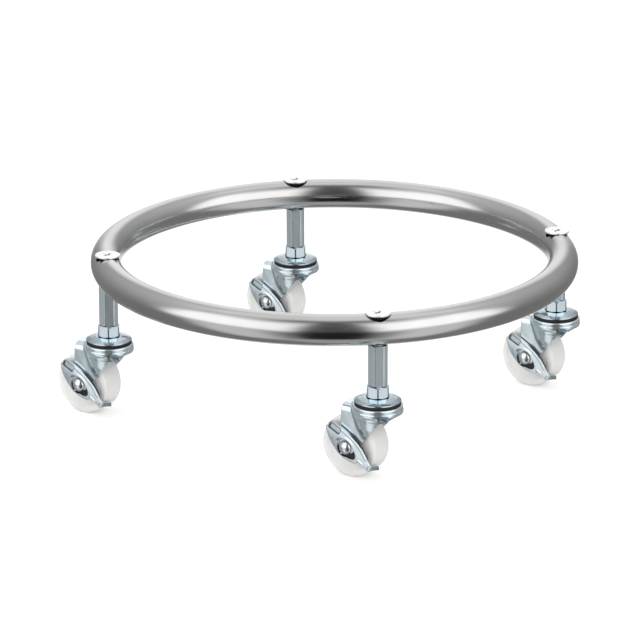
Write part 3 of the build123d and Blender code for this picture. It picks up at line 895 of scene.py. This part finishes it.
def wheel_profile():
    """Half section of the wheel in (radius, out): crowned tread, soft shoulders, dished faces."""
    side = [(BORE_R, HUB_HALF, 0.15), (HUB_R, HUB_HALF, 0.3), (HUB_R + 0.4, 7.7, 0.5),
            (7.5, FACE_HALF, 1.5), (13.6, FACE_HALF, 2.0),
            (15.6, WHEEL_HALF, 1.0), (TREAD_R, WHEEL_HALF, 1.7), (WHEEL_R, 1.5, 6.0)]
    other = [(r, -w, edge) for r, w, edge in reversed(side)]
    return rounded(side + other, steps=WHEEL_ARC_STEPS)


def make_wheel():
    turned = lathe_on_axle(wheel_profile(), WHEEL_STEPS)
    return new_piece("wheel", *turned, PLASTIC, "wheel_nylon", crease=WHEEL_CREASE)


# -------------------------------- brake lever
LEVER_TILT = math.radians(-38.0)
LEVER_OUT = 12.7  # the plate's outer face, from the wheel's middle
LEVER_SHEET = 1.0
PLATE_MID = LEVER_OUT - LEVER_SHEET / 2
FLOOR_MID = 10.5  # the middle of the eye's sunk floor
RIM_IN = 10.3
RIM_END = 15.0  # where the rim stops along the arm
RIM_FOOT = 1.0  # and how low it comes
BOSS_OFFSET = 2.4
BOSS_HOLE_R = 5.5
BOSS_OUT = 11.3
TOE_HIGH = (-17.0, 6.0)
CROWN = (-2.0, 9.1)
ARM_HIGH = (8.5, 8.8)
ARM_LOW = (11.4, -1.8)
ELBOW = (12.4, 1.0)
BELLY = (-0.5, -5.7)
TOE_LOW = (-17.2, 1.0)
OUTLINE_STEPS = 14
EYE_R = 5.15
EYE_ROUND_AT = (0.27, 0.1)  # midway between the rivet's places as the lever rocks
EYE_AT = (1.0, 0.6)
EYE_HALF = (7.6, 4.0)
POCKET = (-12.2, 4.9)
POCKET_HALF = (3.9, 2.0)
POCKET_SLOPE = math.radians(12)
POCKET_DEPTH = 1.3
POCKET_CORNER = 0.7
EYE_WALL = 0.3  # half the width over which the sheet steps down
POCKET_WALL = 0.4
EYE_BORDER = 1.4  # the plate stays flat this far around the eye
LEVER_CELL = 0.32
LEVER_LOW = (-18, -6.5, 0.5)
LEVER_HIGH = (23.4, 10.0, 13.2)
FOOT_GAP = 0.65
FOOT_HALF_SHEET = 0.65
FOOT_MID_R = WHEEL_R + FOOT_GAP + FOOT_HALF_SHEET
FOOT_ANGLE = math.radians(10.0)
FOOT_HALF_ANGLE = math.radians(5.5)
FOOT_IN = 1.5
TAB_ROOT = 11.0
TAB_REACH = 1.6
TAB_HIGH = math.radians(6.0)
TAB_LOW = math.radians(0.5)
PLATE_BOW = 0.012  # per mm: the plate's edges lie a little inside its middle
PLATE_BOW_MAX = 0.7
PLATE_BOW_AT = 1.5
PLATE_SLOPE = 0.65  # keep the fields near a true distance where the sheet slopes
FOOT_SLOPE = 0.8
LEVER_EDGE = 0.5
LEVER_BLEND = 0.8


def arc_through(a, b, c, steps):
    """Points on the circle through three points, from the first to the last."""
    ax, ay, bx, by, cx, cy = *a, *b, *c
    d = 2 * (ax * (by - cy) + bx * (cy - ay) + cx * (ay - by))
    ux = ((ax**2 + ay**2) * (by - cy) + (bx**2 + by**2) * (cy - ay) + (cx**2 + cy**2) * (ay - by)) / d
    uy = ((ax**2 + ay**2) * (cx - bx) + (bx**2 + by**2) * (ax - cx) + (cx**2 + cy**2) * (bx - ax)) / d
    r = math.hypot(ax - ux, ay - uy)
    start, through, end = (math.atan2(p[1] - uy, p[0] - ux) for p in (a, b, c))
    turn = (end - start) % (2 * math.pi)
    if (through - start) % (2 * math.pi) > turn:
        turn -= 2 * math.pi
    return [(ux + r * math.cos(start + turn * k / steps), uy + r * math.sin(start + turn * k / steps))
            for k in range(steps + 1)]


def lever_outline():
    """The plate and the arm from the outside, from the toe over the crown to the foot and back."""
    high = arc_through(TOE_HIGH, CROWN, ARM_HIGH, OUTLINE_STEPS)
    ends = (FOOT_ANGLE + FOOT_HALF_ANGLE, FOOT_ANGLE, FOOT_ANGLE - FOOT_HALF_ANGLE)
    foot = [(FOOT_MID_R * math.cos(a), FOOT_MID_R * math.sin(a)) for a in ends]
    low = arc_through(ARM_LOW, BELLY, TOE_LOW, OUTLINE_STEPS)
    return high + foot + [ELBOW] + low


LEVER_OUTLINE = lever_outline()


def step_down(value, soft):
    """1 well inside a field, 0 well outside it."""
    t = np.clip(0.5 - value / (2 * soft), 0, 1)
    return t * t * (3 - 2 * t)


def eye_field(along, across):
    """The sunk eye around the axle: an ellipse joined with a circle."""
    share = np.hypot((along - EYE_AT[0]) / EYE_HALF[0], (across - EYE_AT[1]) / EYE_HALF[1])
    circle = np.hypot(along - EYE_ROUND_AT[0], across - EYE_ROUND_AT[1]) - EYE_R
    return join((share - 1) * EYE_HALF[1], circle, LEVER_BLEND)


def pocket_field(along, across):
    """The shallow pocket pressed into the lever's toe."""
    c, s = math.cos(POCKET_SLOPE), math.sin(POCKET_SLOPE)
    across_pocket = (along - POCKET[0]) * -s + (across - POCKET[1]) * c
    along_pocket = (along - POCKET[0]) * c + (across - POCKET[1]) * s
    return round_box(along_pocket, across_pocket, *POCKET_HALF, POCKET_CORNER)


def foot_field(along, across, out):
    """The foot, bent in over the tread, its inner end drawn out into a tab."""
    reach = np.hypot(along, across)
    turn = np.arctan2(across, along)
    inward = np.clip((TAB_ROOT - out) / (TAB_ROOT - FOOT_IN), 0, 1)
    flare = TAB_REACH * inward * np.clip((TAB_HIGH - turn) / (TAB_HIGH - TAB_LOW), 0, 1)
    low = (FOOT_ANGLE - FOOT_HALF_ANGLE) * (1 - inward) + TAB_LOW * inward
    high = (FOOT_ANGLE + FOOT_HALF_ANGLE) * (1 - inward) + TAB_HIGH * inward
    beyond = np.maximum(turn - high, low - turn)
    sheet = (np.abs(reach - FOOT_MID_R - flare) - FOOT_HALF_SHEET) * FOOT_SLOPE
    foot = cut(sheet, beyond * FOOT_MID_R, LEVER_EDGE)
    return cut(foot, np.maximum(FOOT_IN - out, out - LEVER_OUT), LEVER_EDGE)


def lever_field(along, across, out):
    """The bowed plate with its sunk eye, pocket and turned-in rim, joined to the foot."""
    edge = outline_field(LEVER_OUTLINE, along, across)
    eye = eye_field(along, across)
    pocket = pocket_field(along, across)
    eye_depth = (PLATE_MID - FLOOR_MID) * step_down(eye, EYE_WALL)
    sunk = np.maximum(eye_depth, POCKET_DEPTH * step_down(pocket, POCKET_WALL))
    bow = np.minimum(PLATE_BOW * (across - PLATE_BOW_AT) ** 2, PLATE_BOW_MAX)
    bow = bow * (1 - step_down(eye - EYE_BORDER, 0.9))
    sheet = (np.abs(out - PLATE_MID + sunk + bow) - LEVER_SHEET / 2) * PLATE_SLOPE
    plate = cut(sheet, edge, LEVER_EDGE)
    # the rim, turned in along the upper edge
    rim = np.abs(edge + LEVER_SHEET / 2) - LEVER_SHEET / 2
    rim = cut(rim, np.maximum(RIM_IN - out, out - LEVER_OUT + bow), 0.4)
    rim = cut(rim, np.maximum(RIM_FOOT - across, along - RIM_END), 1.0)
    body = join(plate, rim, LEVER_BLEND)
    # room for the round boss that the lever rocks on
    boss = np.maximum(np.hypot(along, across - BOSS_OFFSET) - BOSS_HOLE_R, out - BOSS_OUT)
    body = np.maximum(body, -boss)
    return join(body, foot_field(along, across, out), 0.9)


def lever_shade(points):
    """Painted shade and dark reflection along the walls of the eye and the pocket, painted shadow behind
    the rim, and a thin painted shade on the foot.
    """
    along, across, out = points.T
    eye = band(eye_field(along, across), 0.45)
    pocket = band(pocket_field(along, across), 0.4)
    behind = (out < LEVER_OUT - 0.7) & (np.hypot(along, across) < FOOT_MID_R - 1.5)
    behind = behind * np.clip((along + 6) / 5, 0.25, 1)
    foot = 0.4 * (np.hypot(along, across) > FOOT_MID_R - 1.0) * (out < LEVER_OUT - 1.2)
    return np.clip(np.maximum.reduce([0.45 * eye, 0.85 * pocket, behind, foot]), 0, 1)


def make_lever_skin():
    points, faces, normals = skin(lever_field, LEVER_LOW, LEVER_HIGH, LEVER_CELL)
    c, s = math.cos(LEVER_TILT), math.sin(LEVER_TILT)

    def to_caster(p, origin):
        forward = p[:, 0] * c - p[:, 1] * s
        up = p[:, 0] * s + p[:, 1] * c
        return np.column_stack((forward, -p[:, 2], up)) + origin

    return to_caster(points, (-TRAIL, 0, AXLE_Z)), faces, to_caster(normals, (0, 0, 0)), lever_shade(points)


# -------------------------------- build the pieces
def copy_of(piece, name):
    """Another object with the same mesh and slot."""
    twin = bpy.data.objects.new(name, piece.data)
    bpy.context.scene.collection.objects.link(twin)
    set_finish(twin, piece["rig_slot"])
    return twin


def at_each_caster(piece, name, body, node):
    """Stands one piece at the first caster, and copies of it at the others."""
    for place in PLACES:
        one = piece if place == FIRST else copy_of(piece, name)
        one.name = f"{name}_{place}"
        stand(one, place, body.format(place), f"{node}_{place}")


make_ring()
make_screws()
spacer = make_hex("spacer", SPACER, SPACER_LOW_Z, RING_LOW.z / MM, SPACER_ZINC)
at_each_caster(spacer, "spacer", "root", "spacer")
nut = make_hex("nut", NUT, NUT_LOW_Z, SPACER_LOW_Z, ZINC)
at_each_caster(nut, "nut", "root", "lock_nut")
at_each_caster(make_cap(), "cap", "root", "bearing_cap")
at_each_caster(make_dust_ring(), "seal", "root", "dust_ring")
fork_points, fork_faces, fork_normals = make_fork_skin()
# the fork's shade attribute carries painted shade and dark reflection in its crease and relief
fork = new_piece("fork", fork_points, fork_faces, FORK_ZINC, "fork_steel", fork_normals,
                 shade=fork_shade(fork_points))
at_each_caster(fork, "fork_skin", "swivel_{}", "fork")
at_each_caster(make_rivet(), "rivet", "swivel_{}", "axle_rivet")
at_each_caster(make_wheel(), "wheel_skin", "rolling_{}", "wheel")
# the lever's shade attribute is painted shade and painted shadow on its walls, behind its rim and on its
# foot
lever_points, lever_faces, lever_normals, painted_shade = make_lever_skin()
lever = new_piece("lever", lever_points, lever_faces, LEVER_ZINC, "lever_steel", lever_normals, shade=painted_shade)
at_each_caster(lever, "lever_skin", "brake_{}", "brake_lever")

CAD_FINISH = {
    "stem": ZINC, "kingpin_washer": ZINC, "brake_boss": LEVER_ZINC,
    "upper_balls": BEARING, "lower_balls": BEARING, "axle_sleeve": BEARING,
}
for kind, material in CAD_FINISH.items():
    for place in PLACES:
        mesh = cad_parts[f"{kind}_{place}"].data
        mesh.materials.clear()
        mesh.materials.append(material)

# -------------------------------- floor, light and camera
AZIMUTH = math.radians(34.6)
ELEVATION = math.radians(17.4)
DISTANCE = 2.53
SENSOR_MM = 36.0
LENS_MM = 231.2
SHIFT = (-0.0227, -0.0967)  # of the lens, in widths of the picture

# the floor, the light and the camera's distance are in metres
FLOOR_SIZE = 40
FLOOR_Z = -0.0002  # just under the wheels
FLOOR_GLOW = 0.18
KEY_SIZE = 1.6
KEY_POWER = 9.0
KEY_NEAR = 0.6  # towards the camera
KEY_LEFT = 1.3
KEY_HIGH = 1.7
EVEN_LIGHT = 1.12
BASE_RISE = (-20, 75)  # between these heights, in degrees, the studio's walls lighten
BASE_LEVEL = (0.23, 0.70)
STUDIO_TINT = (("Red", 0.985), ("Green", 1.0), ("Blue", 1.01))
# Each card: from, to and softness of the turn away from the camera, the same of the rise above
# level, all in degrees, and its brightness. Left and right match; later cards cover earlier ones.
STUDIO_CARDS = [
    (168, 240, 9, -60, 60, 12, 1.05),
    (110, 240, 20, 58, 130, 9, 0.90),
    (19, 84, 7, -2, 54, 12, 1.45),
    (30, 70, 10, -64, -4, 9, 0.74),
    (-40, 40, 14, -130, -54, 8, 0.46),
    (-40, 62, 10, 66, 84, 6, 0.26),
    (-40, 15, 4, -50, 72, 6, 0.075),
    (-40, 17, 4, -52, 3, 5, 0.012),
]

level_reach = math.cos(ELEVATION)
look = Vector((-math.sin(AZIMUTH) * level_reach, math.cos(AZIMUTH) * level_reach, -math.sin(ELEVATION)))
right = Vector((math.cos(AZIMUTH), math.sin(AZIMUTH), 0))
up = right.cross(look)


def make_floor():
    place = (0, 0, FLOOR_Z)
    bpy.ops.mesh.primitive_grid_add(size=FLOOR_SIZE, x_subdivisions=2, y_subdivisions=2, location=place)
    floor = bpy.context.object
    floor.name = "floor"
    material, nodes, shader = new_material("pale_floor")
    paint = nodes.tint(nodes.noise(3.0, 2.0), (0.93, 0.93, 0.925), (0.95, 0.95, 0.945))
    nodes.link(paint, shader.inputs["Base Color"])
    shader.inputs["Roughness"].default_value = 0.9
    shader.inputs["Specular IOR Level"].default_value = 0.0
    shader.inputs["Emission Color"].default_value = (1, 1, 1, 1)
    shader.inputs["Emission Strength"].default_value = FLOOR_GLOW
    floor.data.materials.append(material)
    floor.visible_glossy = False


def studio_brightness(nodes):
    """How bright the studio is in each direction: walls that lighten upwards, and the cards."""
    place = nodes.add("ShaderNodeTexCoord")

    def along(direction):
        node = nodes.add("ShaderNodeVectorMath", operation="DOT_PRODUCT")
        nodes.link(place.outputs["Generated"], node.inputs[0])
        node.inputs[1].default_value = direction
        return node.outputs["Value"]

    towards_camera = Vector((-look.x, -look.y, 0)).normalized()
    turn = nodes.math("ARCTAN2", along(right), along(towards_camera))
    turn = nodes.math("ABSOLUTE", nodes.math("DEGREES", turn))
    rise = nodes.math("DEGREES", nodes.math("ARCSINE", along((0, 0, 1))))
    level = nodes.ramp_up(rise, *BASE_RISE, *BASE_LEVEL)
    for turn_from, turn_to, turn_soft, rise_from, rise_to, rise_soft, brightness in STUDIO_CARDS:
        across = nodes.window(turn, turn_from, turn_to, turn_soft)
        upright = nodes.window(rise, rise_from, rise_to, rise_soft)
        mix = nodes.add("ShaderNodeMix", data_type="FLOAT")
        nodes.link(nodes.math("MULTIPLY", across, upright), mix.inputs[0])
        nodes.link(level, mix.inputs[2])
        mix.inputs[3].default_value = brightness
        level = mix.outputs[0]
    return level


def make_world():
    """Even light for soft surfaces; metals mirror a studio of soft boxes and dark flags."""
    world = bpy.data.worlds.new("studio")
    bpy.context.scene.world = world
    world.use_nodes = True
    nodes = Nodes(world.node_tree)
    world.node_tree.nodes.clear()
    level = studio_brightness(nodes)
    tinted = nodes.add("ShaderNodeCombineColor")
    for channel, share in STUDIO_TINT:
        nodes.link(nodes.math("MULTIPLY", level, share), tinted.inputs[channel])
    mirror = nodes.add("ShaderNodeBackground")
    nodes.link(tinted.outputs[0], mirror.inputs["Color"])
    mirror.inputs["Strength"].default_value = 1.0
    even = nodes.add("ShaderNodeBackground")
    even.inputs["Color"].default_value = (1, 1, 0.99, 1)
    even.inputs["Strength"].default_value = EVEN_LIGHT
    path = nodes.add("ShaderNodeLightPath")
    mixed = nodes.add("ShaderNodeMixShader")
    nodes.link(path.outputs["Is Glossy Ray"], mixed.inputs[0])
    nodes.link(even.outputs[0], mixed.inputs[1])
    nodes.link(mirror.outputs[0], mixed.inputs[2])
    output = nodes.add("ShaderNodeOutputWorld")
    nodes.link(mixed.outputs[0], output.inputs["Surface"])


def make_light():
    data = bpy.data.lights.new("key", "AREA")
    data.shape = "RECTANGLE"
    data.size = KEY_SIZE
    data.size_y = KEY_SIZE
    data.energy = KEY_POWER
    key = bpy.data.objects.new("key", data)
    bpy.context.scene.collection.objects.link(key)
    key.location = -look * KEY_NEAR - right * KEY_LEFT + Vector((0, 0, KEY_HIGH))
    key.rotation_euler = (-key.location).to_track_quat("-Z", "Y").to_euler()
    key.visible_glossy = False


def make_camera():
    """Looks at the ring's middle, with the lens shifted to leave room for the casters below it."""
    data = bpy.data.cameras.new("camera")
    data.sensor_width = SENSOR_MM
    data.lens = LENS_MM
    data.clip_end = 100
    camera = bpy.data.objects.new("camera", data)
    bpy.context.scene.collection.objects.link(camera)
    centre = Vector((0, 0, RING_Z * MM))
    data.shift_x, data.shift_y = SHIFT
    camera.location = centre - look * DISTANCE
    camera.rotation_euler = look.to_track_quat("-Z", "Y").to_euler()
    bpy.context.scene.camera = camera


make_floor()
make_world()
make_light()
make_camera()
bpy.context.scene.view_settings.view_transform = "Standard"
bpy.context.scene.view_settings.look = "None"
